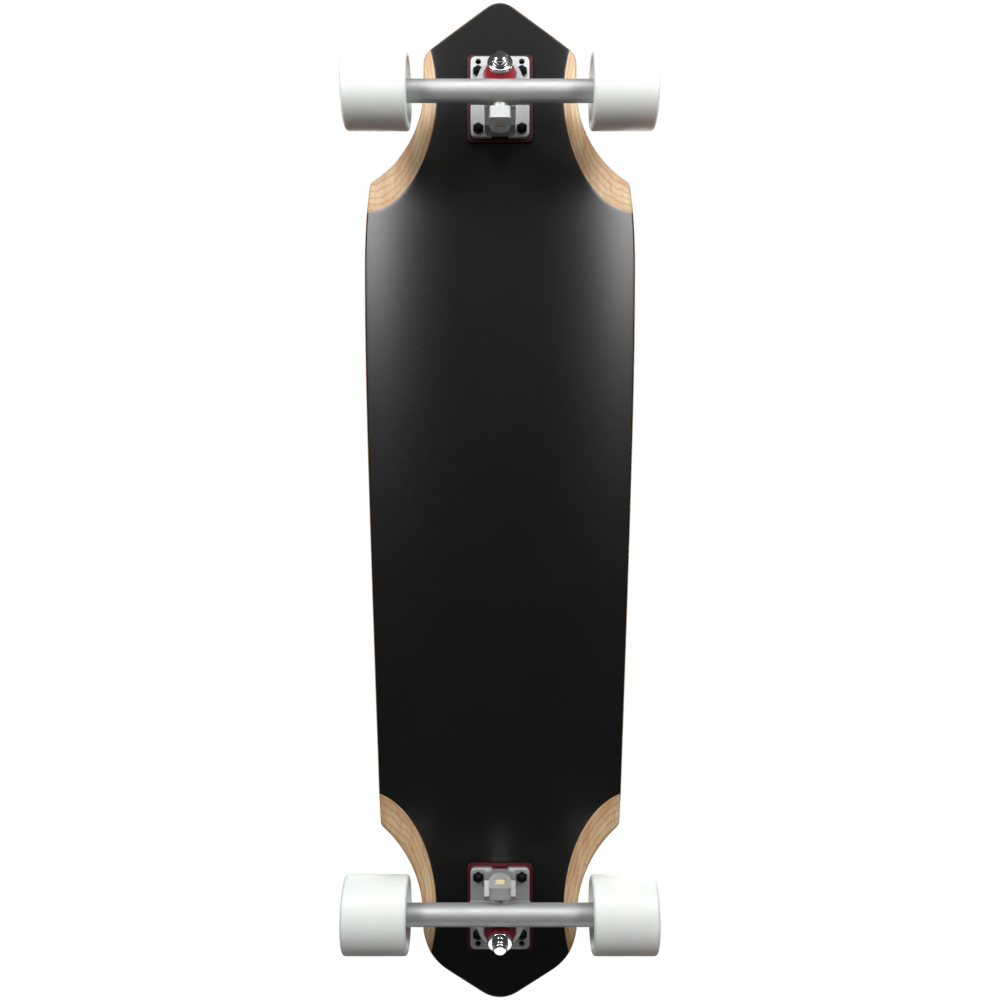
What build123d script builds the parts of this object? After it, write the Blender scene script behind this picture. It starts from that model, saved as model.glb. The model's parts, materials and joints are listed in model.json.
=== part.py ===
"""Top-mount longboard with reverse-kingpin trucks, standing on its four wheels.

Row frame: millimetres, +Z up, origin on the floor under the middle of the deck. The deck runs
along Y with its pointed nose at -Y, and X runs across it.

Truck frame: both trucks are the same, so each truck piece is made once in a frame that lies on
the deck's underside. There x runs across the board, y points outward to the board's own end and
z points down to the road. The steering frame sits inside it, at the centre of the hanger's
ring: k runs along the kingpin towards its nut, and s runs along the steering axis from the ring
to the pivot.
"""

import os
from math import cos, radians, sin, sqrt, tan

from build123d import *

# ---------------------------------------------------------------- deck
deck_length = 950.0
deck_width = 262.0  # widest, just behind the front shoulders
deck_thickness = 11.5  # nine maple plies
concave_flat = 70.0  # flat middle of the cross-section
concave_radius = 350.0  # underside, from the flat out to each rail

nose_half_angle = 53.7  # between the centre line and each nose flank
nose_tip_radius = 20.0
nose_corner_radius = 12.0
neck_width = 147.0  # between the front wheels
front_cut_start = 79.0  # nose tip to where the cutaway arc leaves the neck
front_shoulder = 167.0  # nose tip to the front shoulder corner
front_shoulder_inset = 5.0  # shoulder corner inside the widest line
shoulder_radius = 7.0

widest_at = 250.0  # nose tip to the widest point
middle_inset = 4.5  # the rail at mid length, inside the widest line
rear_shoulder = 160.0  # tail tip to the rear shoulder corner
rear_shoulder_inset = 15.5
rear_cut_start = 75.0  # tail tip to where the cutaway arc leaves the tail
tail_width = 148.0
tail_half_angle = 57.7  # between the centre line and each tail flank
tail_tip_radius = 30.0
tail_corner_radius = 50.0

well_width = 20.0  # carved wheel wells, measured in from the cutaway arcs
well_depth = 4.6  # at the cutaway's edge
well_shift = 9.0  # towards the middle of the deck, which widens the well at the shoulder
grip_thickness = 1.0

# ---------------------------------------------------------------- truck bolts
wheelbase = 708.0  # inner bolts to inner bolts
front_bolt_setback = 123.5  # nose tip to the inner bolts
bolt_gauge = 41.28  # across the board
bolt_length_new = 53.98  # inner bolts to the outer bolts
bolt_length_old = 63.5  # inner bolts to the spare outer holes
bolt_diameter = 4.8
bolt_hole_clearance = 0.35  # radial
bolt_head_diameter = 9.6
bolt_head_height = 2.7
head_clearance = 0.3  # radial, round the countersunk head
bolt_head_sink = 0.5  # head below the grip's face
deck_nut_flats = 9.5
deck_nut_height = 5.0
bolt_stick_out = 2.0
fit_gap = 0.05  # radial, between pieces that are fixed together

# ---------------------------------------------------------------- riser and baseplate
riser_thickness = 3.0
riser_margin = 3.0
plate_width = 56.0
plate_thickness = 5.0
plate_corner = 4.5
plate_round = 1.0
plate_end_inner = 7.8  # inner bolts to the plate's inner end
plate_end_outer = 5.2  # spare holes to the plate's outer end
notch_radius = 8.0
wall_thickness = 12.0  # between bushing seat and kingpin head
wedge_width = 28.8
tower_width = 15.0
boss_radius = 9.6
boss_length = 13.5
boss_corner = 2.5  # corners of the flat road side
boss_back_wall = 1.5
boss_window_width = 9.0  # opening in the back wall, behind the cup
boss_window_height = 7.0
seat_margin = 1.5  # seat beyond the bushing
seat_foot = 5.0  # how far the wedge's outer foot spreads on the plate
head_pocket_clearance = 1.3

# ---------------------------------------------------------------- steering
axle_drop = 71.0  # deck underside to the axle
axle_inset = 20.0  # hole pattern centre to the axle, towards the board's middle
steering_angle = 25.0  # steering axis above the deck plane
axle_to_ring = 24.3  # along the steering axis
axle_rake = 9.6  # axle off the steering axis, towards the road

kingpin_diameter = 9.53
kingpin_head_flats = 14.3
kingpin_head_height = 6.4
kingpin_nut_height = 7.0
kingpin_stick_out = 0.8
ring_thickness = 8.0
ring_clearance = 3.2  # radial, so that the ring can tilt on the kingpin
ring_wall = 11.0
bushing_radius = 14.4
bushing_top_radius = 10.2
bushing_height = 14.5
bushing_pocket_clearance = 0.6
pocket_flare = 16.0  # degrees, room for the tilted hanger to pass the washer
washer_thickness = 1.6
washer_rim = 1.0
washer_rim_height = 1.5
seat_gap = 0.1

# ---------------------------------------------------------------- hanger and axle
hanger_length = 180.0
bar_radius = 10.25
yoke_width = 54.0
yoke_thickness = 10.0
axle_radius = 4.0
axle_length = 252.0
pivot_radius = 5.2
pivot_root_radius = 8.0
pivot_neck = 5.5  # bare length between the bar and the cup
pivot_clearance = 0.15
cup_wall = 2.4
cup_lip = 1.0  # thickness of the cup's lip, in front of the boss
cup_gap = 0.45  # between the lip and the hanger
cup_floor = 1.0
pivot_end_gap = 0.3  # between the pivot's nose and the cup's floor

# ---------------------------------------------------------------- wheels
wheel_diameter = 68.0
wheel_width = 57.0
wheel_backset = 9.0  # inner lip inboard of the hanger's end
lip_round = 3.0
lip_inner_radius = 28.5
core_radius = 16.5
core_overhang = 1.0
bearing_bore = 8.0
bearing_outside = 22.0
bearing_width = 7.0
bearing_spacing = 10.0
bearing_seat_lip = 1.6
ball_diameter = 3.97
ball_count = 7
race_shoulder_inner = 6.1
race_shoulder_outer = 9.3
race_play = 0.06
shield_thickness = 0.4
speed_ring_thickness = 1.0
speed_ring_radius = 6.0
axle_nut_flats = 13.0
axle_nut_height = 8.0

# ---------------------------------------------------------------- worked out
half_length = deck_length / 2
half_width = deck_width / 2
wheel_radius = wheel_diameter / 2
underside = wheel_radius + axle_drop  # height of the flat of the deck's underside
kingpin_radius = kingpin_diameter / 2
bolt_radius = bolt_diameter / 2
bolt_hole_radius = bolt_radius + bolt_hole_clearance

inner_bolts = -bolt_length_old / 2  # truck frame, y
outer_bolts = inner_bolts + bolt_length_new
spare_holes = inner_bolts + bolt_length_old
plate_inner = inner_bolts - plate_end_inner
plate_outer = spare_holes + plate_end_outer
plate_bottom = riser_thickness
plate_top = plate_bottom + plate_thickness

lean, rise = cos(radians(steering_angle)), sin(radians(steering_angle))
ring_y = -axle_inset + axle_to_ring * lean - axle_rake * rise
ring_z = axle_drop - axle_to_ring * rise - axle_rake * lean
ring_half = ring_thickness / 2
washer_at = ring_half + seat_gap + bushing_height
seat_at = washer_at + washer_thickness
head_at = seat_at + wall_thickness
head_end = head_at + kingpin_head_height
kingpin_end = seat_at + kingpin_nut_height + kingpin_stick_out

lip_at = axle_to_ring + bar_radius + pivot_neck + cup_gap  # along the steering axis
boss_at = lip_at + cup_lip
boss_end = boss_at + boss_length
cup_radius = pivot_radius + pivot_clearance + cup_wall
cup_depth = boss_length - boss_back_wall
cup_bore_depth = cup_depth + cup_lip - cup_floor

hanger_half = hanger_length / 2
race_inner_at = hanger_half + speed_ring_thickness
race_outer_at = race_inner_at + bearing_width + bearing_spacing
race_end = race_outer_at + bearing_width
axle_nut_at = race_end + speed_ring_thickness
wheel_inner = hanger_half - wheel_backset
wheel_outer = wheel_inner + wheel_width


def steer_point(s, k):
    """Truck-frame (y, z) of the point s along the steering axis and k along the kingpin."""
    return ring_y - s * lean + k * rise, ring_z + s * rise + k * lean


ring_centre = (0, ring_y, ring_z)
kingpin_plane = Plane(origin=ring_centre, x_dir=(1, 0, 0), z_dir=(0, rise, lean))
pivot_plane = Plane(origin=ring_centre, x_dir=(1, 0, 0), z_dir=(0, -lean, rise))
pivot_section = Plane(origin=ring_centre, x_dir=(1, 0, 0), z_dir=(0, -rise, -lean))
pivot_axis = Axis(origin=ring_centre, direction=(0, -lean, rise))
kingpin_section = Plane(origin=ring_centre, x_dir=(1, 0, 0), z_dir=(0, -lean, rise))
kingpin_axis = Axis(origin=ring_centre, direction=(0, rise, lean))
axle_centre = (0, -axle_inset, axle_drop)
wheel_section = Plane(origin=axle_centre, x_dir=(1, 0, 0), z_dir=(0, -1, 0))
axle_axis = Axis(origin=axle_centre, direction=(1, 0, 0))
axle_plane = Plane(origin=axle_centre, x_dir=(0, 1, 0), z_dir=(1, 0, 0))

front_y = -half_length + front_bolt_setback + inner_bolts
rear_y = -half_length + front_bolt_setback + wheelbase - inner_bolts
front_place = Plane(origin=(0, front_y, underside), x_dir=(1, 0, 0), z_dir=(0, 0, -1)).location
rear_place = Plane(origin=(0, rear_y, underside), x_dir=(-1, 0, 0), z_dir=(0, 0, -1)).location

os.makedirs("parts", exist_ok=True)


def write(shape, name):
    """One STEP file for one node."""
    shape.label = name
    export_step(shape, f"parts/{name}.step")


def write_both(shape, name):
    """The same truck piece at the front and at the rear."""
    write(shape.moved(front_place), f"front_{name}")
    write(shape.moved(rear_place), f"rear_{name}")


# ---------------------------------------------------------------- deck pieces
neck, tail = neck_width / 2, tail_width / 2
neck_end = -half_length + front_cut_start
tail_start = half_length - rear_cut_start
corner_front = (half_width - front_shoulder_inset, -half_length + front_shoulder)
corner_rear = (half_width - rear_shoulder_inset, half_length - rear_shoulder)


def point_end(half_angle, tip_radius, width):
    """How far past the rounded tip the flanks meet, and how far along they are from there.

    Two straight flanks meet on the centre line and are rounded there, so the deck's end lies
    inside the point where they would meet. Both distances are along the deck.
    """
    past_tip = tip_radius * (1 / sin(radians(half_angle)) - 1)
    return past_tip, width / 2 / tan(radians(half_angle))


def outline():
    """Face of the deck's outline seen from above, at height 0."""
    past_nose, nose_run = point_end(nose_half_angle, nose_tip_radius, neck_width)
    past_tail, tail_run = point_end(tail_half_angle, tail_tip_radius, tail_width)
    nose_apex, tail_apex = -half_length - past_nose, half_length + past_tail
    nose_flank, tail_flank = (neck, nose_apex + nose_run), (tail, tail_apex - tail_run)
    widest = (half_width, -half_length + widest_at)
    with BuildSketch() as face:
        with BuildLine() as edge:
            Polyline((0, nose_apex), nose_flank, (neck, neck_end))
            TangentArc((neck, neck_end), corner_front, tangent=(0, 1))
            TangentArc(widest, corner_front, tangent=(0, -1))
            Spline(
                widest,
                (half_width - middle_inset, 0),
                corner_rear,
                tangents=[(0, 1), (middle_inset - rear_shoulder_inset, corner_rear[1])],
            )
            TangentArc((tail, tail_start), corner_rear, tangent=(0, -1))
            Polyline((tail, tail_start), tail_flank, (0, tail_apex))
            mirror(about=Plane.YZ)
        make_face()
        for (_, height), radius in (
            ((0, nose_apex), nose_tip_radius),
            (nose_flank, nose_corner_radius),
            (corner_front, shoulder_radius),
            (corner_rear, shoulder_radius),
            (tail_flank, tail_corner_radius),
            ((0, tail_apex), tail_tip_radius),
        ):
            fillet([v for v in face.vertices() if abs(v.Y - height) < 0.01], radius)
    return face.sketch


def concave_band(low, high):
    """The curved sheet between two heights above the deck's underside, longer than the deck."""
    flat = concave_flat / 2
    sweep_angle = 1.25 * 57.3 * (half_width - flat) / concave_radius
    ends = []
    with BuildPart() as band:
        with BuildSketch(Plane.XZ):
            with BuildLine():
                for height in (low, high):
                    centre_height = underside + concave_radius
                    radius = concave_radius - height
                    Line((-flat, underside + height), (flat, underside + height))
                    right = CenterArc((flat, centre_height), radius, -90, sweep_angle)
                    left = CenterArc((-flat, centre_height), radius, -90, -sweep_angle)
                    ends.append((right @ 1, left @ 1))
                Line(ends[0][0], ends[1][0])
                Line(ends[0][1], ends[1][1])
            make_face()
        extrude(amount=half_length + 20, both=True)
    return band.part


def underside_at(x):
    """Height of the deck's underside at a distance x from the centre line."""
    across = max(0, abs(x) - concave_flat / 2)
    return underside + concave_radius - sqrt(concave_radius**2 - across**2)


def well_cutter(start, corner, side):
    """Flat cone that carves one wheel well, coaxial with the cutaway arc but for well_shift.

    The cone's base plane follows the underside from the arc's start out to the shoulder.
    """
    across, along = corner[0] - start[0], corner[1] - start[1]
    arc_radius = (across**2 + along**2) / (2 * across)
    climb = (underside_at(corner[0]) - underside_at(start[0])) / across
    towards_middle = 1 if along > 0 else -1
    centre = (
        side * (start[0] + arc_radius),
        start[1] + towards_middle * well_shift,
        underside_at(start[0]) + arc_radius * climb,
    )
    reach = 2 * well_depth  # the cone runs on past the underside, and past the well's depth
    spread = reach * well_width / well_depth
    surface_radius = arc_radius + well_width
    with BuildPart() as cutter:
        with Locations(Plane(origin=centre, x_dir=(1, 0, side * climb), z_dir=(-side * climb, 0, 1))):
            Cone(surface_radius + spread, surface_radius - spread, 2 * reach)
    return cutter.part


bolt_places = [
    (side * bolt_gauge / 2, y) for side in (-1, 1) for y in (inner_bolts, outer_bolts)
]
plate_hole_places = bolt_places + [(side * bolt_gauge / 2, spare_holes) for side in (-1, 1)]
deck_holes = [
    (x, front_y - y) for x, y in bolt_places
] + [
    (x, rear_y + y) for x, y in bolt_places
]
grip_top = underside + deck_thickness + grip_thickness
head_top = grip_top - bolt_head_sink

deck_blank = concave_band(0, deck_thickness)
wells = [
    well_cutter(start, corner, side)
    for start, corner in (((neck, neck_end), corner_front), ((tail, tail_start), corner_rear))
    for side in (-1, 1)
]
with BuildPart() as deck:
    with BuildSketch(Plane.XY.offset(underside - 5)):
        add(outline())
    extrude(amount=deck_thickness + 60)
    add(deck_blank, mode=Mode.INTERSECT)
    for well in wells:
        add(well, mode=Mode.SUBTRACT)
    with Locations(*[(x, y, head_top) for x, y in deck_holes]):
        CounterSinkHole(bolt_hole_radius, bolt_head_diameter / 2 + head_clearance)
write(deck.part, "deck")

grip_blank = concave_band(deck_thickness, deck_thickness + grip_thickness)
with BuildPart() as grip:
    with BuildSketch(Plane.XY.offset(underside - 5)):
        add(outline())
        with Locations(*deck_holes):
            Circle(bolt_head_diameter / 2 + head_clearance, mode=Mode.SUBTRACT)
    extrude(amount=deck_thickness + 60)
    add(grip_blank, mode=Mode.INTERSECT)
write(grip.part, "grip_tape")

# ---------------------------------------------------------------- truck bolts and nuts
head_level = -(deck_thickness + grip_thickness - bolt_head_sink)  # truck frame, z
nut_end = plate_top + deck_nut_height
with BuildPart() as bolts:
    with BuildSketch(Plane.XY.offset(head_level)):
        with Locations(*bolt_places):
            Circle(bolt_radius)
    extrude(amount=nut_end + bolt_stick_out - head_level)
    chamfer(bolts.edges().group_by(Axis.Z)[-1], 0.5)
    with Locations(*[(x, y, head_level) for x, y in bolt_places]):
        Cone(
            bolt_head_diameter / 2,
            bolt_radius,
            bolt_head_height,
            align=(Align.CENTER, Align.CENTER, Align.MIN),
        )
    with BuildSketch(Plane.XY.offset(head_level)):
        with Locations(*bolt_places):
            RegularPolygon(1.75, 6)
    extrude(amount=2.0, mode=Mode.SUBTRACT)
write_both(bolts.part, "deck_bolts")

with BuildPart() as deck_nuts:
    with BuildSketch(Plane.XY.offset(plate_top)):
        with Locations(*bolt_places):
            RegularPolygon(deck_nut_flats / 2, 6, major_radius=False)
            Circle(bolt_radius + fit_gap, mode=Mode.SUBTRACT)
    extrude(amount=deck_nut_height)
write_both(deck_nuts.part, "deck_nuts")

# ---------------------------------------------------------------- riser pad
plate_length = plate_outer - plate_inner
plate_middle = (plate_outer + plate_inner) / 2
with BuildPart() as riser:
    with BuildSketch():
        with Locations((0, plate_middle)):
            RectangleRounded(
                plate_width + 2 * riser_margin, plate_length + 2 * riser_margin, plate_corner
            )
        with Locations(*plate_hole_places):
            Circle(bolt_hole_radius, mode=Mode.SUBTRACT)
    extrude(amount=riser_thickness)
write_both(riser.part, "riser_pad")

# ---------------------------------------------------------------- baseplate
seat_reach = bushing_radius + seat_margin
seat_outer = steer_point(-seat_reach, -seat_at)
seat_inner = steer_point(seat_reach, -seat_at)
tower_back = steer_point(boss_end - 1.5, -boss_radius + 1)
tower_front = steer_point(boss_at + 0.5, -boss_radius + 1)
root = plate_top - 1  # the upper shapes start inside the plate
with BuildPart() as baseplate:
    with BuildSketch(Plane.XY.offset(plate_bottom)):
        with Locations((0, plate_middle)):
            RectangleRounded(plate_width, plate_length, plate_corner)
        with Locations((0, plate_inner - 1)):
            Circle(notch_radius, mode=Mode.SUBTRACT)
    extrude(amount=plate_thickness)
    fillet(baseplate.edges().group_by(Axis.Z)[-1], plate_round)
    # wedge that carries the bushing seat
    with BuildSketch(Plane.YZ):
        with BuildLine():
            Polyline(
                (seat_outer[0] + seat_foot, root),
                seat_outer,
                seat_inner,
                (plate_inner + 4, seat_inner[1] - wall_thickness),
                (plate_inner + 2, root),
                close=True,
            )
        make_face()
    extrude(amount=wedge_width / 2, both=True)
    # tower that reaches up to the pivot
    with BuildSketch(Plane.YZ):
        with BuildLine():
            Polyline(
                (seat_inner[0], root),
                seat_inner,
                tower_front,
                tower_back,
                (plate_inner + 0.6, root),
                close=True,
            )
        make_face()
    extrude(amount=tower_width / 2, both=True)
    # pivot boss
    with BuildSketch(pivot_plane.offset(boss_at)):
        RectangleRounded(2 * boss_radius, 2 * boss_radius, boss_corner)
        with Locations((0, -boss_radius)):
            Rectangle(3 * boss_radius, 2 * boss_radius, mode=Mode.SUBTRACT)
        Circle(boss_radius)
    extrude(amount=boss_length)
    with BuildSketch(pivot_plane.offset(boss_at)):
        Circle(cup_radius + fit_gap)
    extrude(amount=cup_depth, mode=Mode.SUBTRACT)
    with BuildSketch(pivot_plane.offset(boss_at)):
        with Locations((0, 1)):
            Rectangle(boss_window_width, boss_window_height)
    extrude(amount=boss_length + boss_radius, mode=Mode.SUBTRACT)
    # kingpin hole and the pocket for its head
    with BuildSketch(kingpin_plane.offset(-seat_at)):
        Circle(kingpin_radius + fit_gap)
    extrude(amount=-2 * wall_thickness, mode=Mode.SUBTRACT)
    with BuildSketch(kingpin_plane.offset(-head_at)):
        Circle(kingpin_head_flats / sqrt(3) + head_pocket_clearance)
    extrude(amount=-60, mode=Mode.SUBTRACT)
    # nothing of the casting reaches into the riser
    with BuildSketch():
        Rectangle(4 * plate_width, 4 * plate_length)
    extrude(amount=plate_bottom, mode=Mode.SUBTRACT)
    with BuildSketch(Plane.XY.offset(plate_bottom)):
        with Locations(*plate_hole_places):
            Circle(bolt_hole_radius)
    extrude(amount=plate_thickness, mode=Mode.SUBTRACT)
write_both(baseplate.part, "baseplate")

# ---------------------------------------------------------------- pivot cup
with BuildPart() as cup:
    with BuildSketch(pivot_plane.offset(boss_at)):
        Circle(cup_radius)
    extrude(amount=cup_depth - fit_gap)
    with BuildSketch(pivot_plane.offset(lip_at)):
        Circle(cup_radius + 1.2)
    extrude(amount=cup_lip)
    with BuildSketch(pivot_plane.offset(lip_at)):
        Circle(pivot_radius + pivot_clearance)
    extrude(amount=cup_bore_depth, mode=Mode.SUBTRACT)
write_both(cup.part, "pivot_cup")

# ---------------------------------------------------------------- kingpin and its stack
with BuildPart() as kingpin:
    with BuildSketch(kingpin_plane.offset(-head_end)):
        RegularPolygon(kingpin_head_flats / 2, 6, major_radius=False)
    extrude(amount=kingpin_head_height)
    with BuildSketch(kingpin_plane.offset(-head_at)):
        Circle(kingpin_radius)
    extrude(amount=head_at + kingpin_end)
write_both(kingpin.part, "kingpin")

with BuildPart() as kingpin_nut:
    with BuildSketch(kingpin_plane.offset(seat_at)):
        RegularPolygon(kingpin_head_flats / 2, 6, major_radius=False)
        Circle(kingpin_radius + fit_gap, mode=Mode.SUBTRACT)
    extrude(amount=kingpin_nut_height)
write_both(kingpin_nut.part, "kingpin_nut")


def cup_washer(bushing_end_radius, side):
    """Cupped washer that holds one bushing's end. side is 1 towards the nut, -1 towards the deck."""
    inner = bushing_end_radius + 0.2
    rim = inner + washer_rim
    bore = kingpin_radius + fit_gap
    base, face, lip = (
        side * seat_at,
        side * washer_at,
        side * (washer_at - washer_rim_height),
    )
    with BuildPart() as washer:
        with BuildSketch(kingpin_section):
            with BuildLine():
                Polyline(
                    (bore, base),
                    (rim - 0.6, base),
                    (rim, base - side * 0.6),
                    (rim, lip),
                    (inner, lip),
                    (inner, face),
                    (bore, face),
                    close=True,
                )
            make_face()
        revolve(axis=kingpin_axis)
    return washer.part


def bushing(near_radius, far_radius, side):
    """Urethane bushing from the ring's face out to its washer, with rounded ends."""
    near, far = side * (ring_half + seat_gap), side * washer_at
    bore = kingpin_radius + fit_gap
    edge = 0.9
    with BuildPart() as rubber:
        with BuildSketch(kingpin_section):
            with BuildLine():
                Polyline(
                    (bore, near),
                    (near_radius - edge, near),
                    (near_radius, near + side * edge),
                    (far_radius, far - side * edge),
                    (far_radius - edge, far),
                    (bore, far),
                    close=True,
                )
            make_face()
        revolve(axis=kingpin_axis)
    return rubber.part


write_both(cup_washer(bushing_radius, -1), "deck_side_washer")
write_both(cup_washer(bushing_top_radius, 1), "road_side_washer")
write_both(bushing(bushing_radius, bushing_radius, -1), "deck_side_bushing")
write_both(bushing(bushing_radius, bushing_top_radius, 1), "road_side_bushing")

# ---------------------------------------------------------------- hanger
ring_bore = kingpin_radius + ring_clearance
pocket_radius = bushing_radius + bushing_pocket_clearance
nose_end = lip_at + cup_bore_depth - pivot_end_gap
with BuildPart() as hanger:
    with BuildSketch(axle_plane):
        Circle(bar_radius)
    extrude(amount=hanger_half, both=True)
    chamfer(hanger.edges().filter_by(GeomType.CIRCLE), 0.8)
    # yoke from the bar out round the ring
    with BuildSketch(kingpin_plane):
        Circle(ring_bore + ring_wall)
        with Locations((0, -axle_to_ring)):
            Rectangle(yoke_width, 4)
        make_hull()
    extrude(amount=yoke_thickness / 2, both=True)
    # pivot nose
    with BuildSketch(pivot_section):
        with BuildLine():
            Polyline(
                (0, axle_to_ring),
                (pivot_root_radius, axle_to_ring),
                (pivot_root_radius, axle_to_ring + bar_radius - 2.5),
                (pivot_radius, lip_at - 0.2),
                (pivot_radius, nose_end - pivot_radius),
            )
            CenterArc((0, nose_end - pivot_radius), pivot_radius, 0, 90)
            Line((0, nose_end), (0, axle_to_ring))
        make_face()
    revolve(axis=pivot_axis)
    # bushing pockets: straight towards the deck, flared towards the road
    with BuildSketch(kingpin_plane.offset(-ring_half)):
        Circle(pocket_radius)
    extrude(amount=-3 * ring_half, mode=Mode.SUBTRACT)
    with BuildSketch(kingpin_plane.offset(ring_half)):
        Circle(pocket_radius)
    extrude(amount=bar_radius + axle_rake, taper=-pocket_flare, mode=Mode.SUBTRACT)
    with BuildSketch(kingpin_plane):
        Circle(ring_bore)
    extrude(amount=yoke_thickness, both=True, mode=Mode.SUBTRACT)
    # axle bore
    with BuildSketch(axle_plane):
        Circle(axle_radius + fit_gap)
    extrude(amount=hanger_length, both=True, mode=Mode.SUBTRACT)
write_both(hanger.part, "hanger")

with BuildPart() as axle:
    with BuildSketch(axle_plane):
        Circle(axle_radius)
    extrude(amount=axle_length / 2, both=True)
    chamfer(axle.edges().filter_by(GeomType.CIRCLE), 0.7)
write_both(axle.part, "axle")


# ---------------------------------------------------------------- rings along the axle
def turned(stretches, *, both_sides):
    """Rings round the axle: each stretch is (x from, x to, bore radius, outer radius)."""
    with BuildPart() as rings:
        with BuildSketch(wheel_section):
            for start, end, bore, outer in stretches:
                with Locations(((start + end) / 2, (bore + outer) / 2)):
                    Rectangle(end - start, outer - bore)
            if both_sides:
                mirror(about=Plane.YZ)
        revolve(axis=axle_axis)
    return rings.part


running_bore = axle_radius + fit_gap
race_starts = (race_inner_at, race_outer_at)
write_both(
    turned(
        [
            (hanger_half, race_inner_at, running_bore, speed_ring_radius),
            (race_end, axle_nut_at, running_bore, speed_ring_radius),
        ],
        both_sides=True,
    ),
    "speed_rings",
)
write_both(
    turned(
        [(race_inner_at + bearing_width, race_outer_at, running_bore, axle_radius + 1.2)],
        both_sides=True,
    ),
    "bearing_spacers",
)

with BuildPart() as axle_nuts:
    for side in (-1, 1):
        with BuildSketch(axle_plane.offset(side * axle_nut_at)):
            RegularPolygon(axle_nut_flats / 2, 6, major_radius=False)
            Circle(running_bore, mode=Mode.SUBTRACT)
        extrude(amount=side * axle_nut_height)
write_both(axle_nuts.part, "axle_nuts")

pitch_radius = (race_shoulder_inner + race_shoulder_outer) / 2


def races(bore, outer, sides):
    """Bearing rings with a ball groove, at both bearing seats, on each side listed."""
    with BuildPart() as rings:
        with BuildSketch(wheel_section):
            for side in sides:
                for start in race_starts:
                    middle = side * (start + bearing_width / 2)
                    with Locations((middle, (bore + outer) / 2)):
                        Rectangle(bearing_width, outer - bore)
                    with Locations((middle, pitch_radius)):
                        Circle(ball_diameter / 2 + race_play, mode=Mode.SUBTRACT)
        revolve(axis=axle_axis)
    return rings.part


write_both(races(running_bore, race_shoulder_inner, (-1, 1)), "bearing_inner_races")

# ---------------------------------------------------------------- wheels
bearing_radius = bearing_outside / 2


def tyre(side):
    """Urethane tyre: a wide tread with two lips, dished on both faces down to the core."""
    core_start = race_inner_at - core_overhang
    core_end = race_end + core_overhang
    with BuildPart() as rubber:
        with BuildSketch(wheel_section):
            with BuildLine():
                Polyline(
                    (side * core_start, core_radius),
                    (side * (wheel_inner + 1.2), lip_inner_radius),
                    (side * wheel_inner, lip_inner_radius + 1.2),
                    (side * wheel_inner, wheel_radius - lip_round),
                )
                Line(
                    (side * (wheel_inner + lip_round), wheel_radius),
                    (side * (wheel_outer - lip_round), wheel_radius),
                )
                Polyline(
                    (side * wheel_outer, wheel_radius - lip_round),
                    (side * wheel_outer, lip_inner_radius + 1.2),
                    (side * (wheel_outer - 1.2), lip_inner_radius),
                    (side * core_end, core_radius),
                    (side * core_start, core_radius),
                )
                for edge, inward in ((wheel_inner, 1), (wheel_outer, -1)):
                    half = lip_round * (1 - sqrt(0.5))
                    ThreePointArc(
                        (side * edge, wheel_radius - lip_round),
                        (side * (edge + inward * half), wheel_radius - half),
                        (side * (edge + inward * lip_round), wheel_radius),
                    )
            make_face()
        revolve(axis=axle_axis)
    return rubber.part


def core(side):
    """Plastic core with a seat for a bearing at each end and a shoulder between them."""
    with BuildPart() as hub:
        with BuildSketch(wheel_section):
            start, end = race_inner_at - core_overhang, race_end + core_overhang
            middle, length = side * (start + end) / 2, end - start
            with Locations((middle, (bearing_radius + core_radius) / 2)):
                Rectangle(length, core_radius - bearing_radius)
            shoulder = side * (race_inner_at + bearing_width + bearing_spacing / 2)
            with Locations((shoulder, bearing_radius - bearing_seat_lip / 2)):
                Rectangle(bearing_spacing, bearing_seat_lip)
        revolve(axis=axle_axis)
    return hub.part


def balls(side):
    """Seven balls in each of the two bearings."""
    with BuildPart() as ring:
        for start in race_starts:
            with Locations(axle_plane.offset(side * (start + bearing_width / 2))):
                with PolarLocations(pitch_radius, ball_count):
                    Sphere(ball_diameter / 2)
    return ring.part


def shields(side):
    """The metal shields that close the two bearings, one on each face."""
    faces = [start + d for start in race_starts for d in (0.3, bearing_width - 0.7)]
    return turned(
        [
            tuple(sorted((side * x, side * (x + shield_thickness))))
            + (race_shoulder_inner + 0.15, race_shoulder_outer)
            for x in faces
        ],
        both_sides=False,
    )


def write_wheel(end, place, side, name):
    """All the pieces that turn with one wheel."""
    pieces = {
        "tyre": tyre(side),
        "core": core(side),
        "bearing_outer_races": races(race_shoulder_outer, bearing_radius, (side,)),
        "bearing_balls": balls(side),
        "bearing_shields": shields(side),
    }
    for piece, shape in pieces.items():
        write(shape.moved(place), f"{end}_{name}_{piece}")


write_wheel("front", front_place, 1, "left")
write_wheel("front", front_place, -1, "right")
write_wheel("rear", rear_place, -1, "left")
write_wheel("rear", rear_place, 1, "right")
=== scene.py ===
"""Looks of a top-mount longboard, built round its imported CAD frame.

Everything is in metres in the row frame: +Z up, wheels on the floor at height 0, the pointed
nose at -Y. The board is seen from below, so that its black underside, carved wheel wells and
trucks face the camera. The floor shows only from above.
"""

import json
import math

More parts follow.
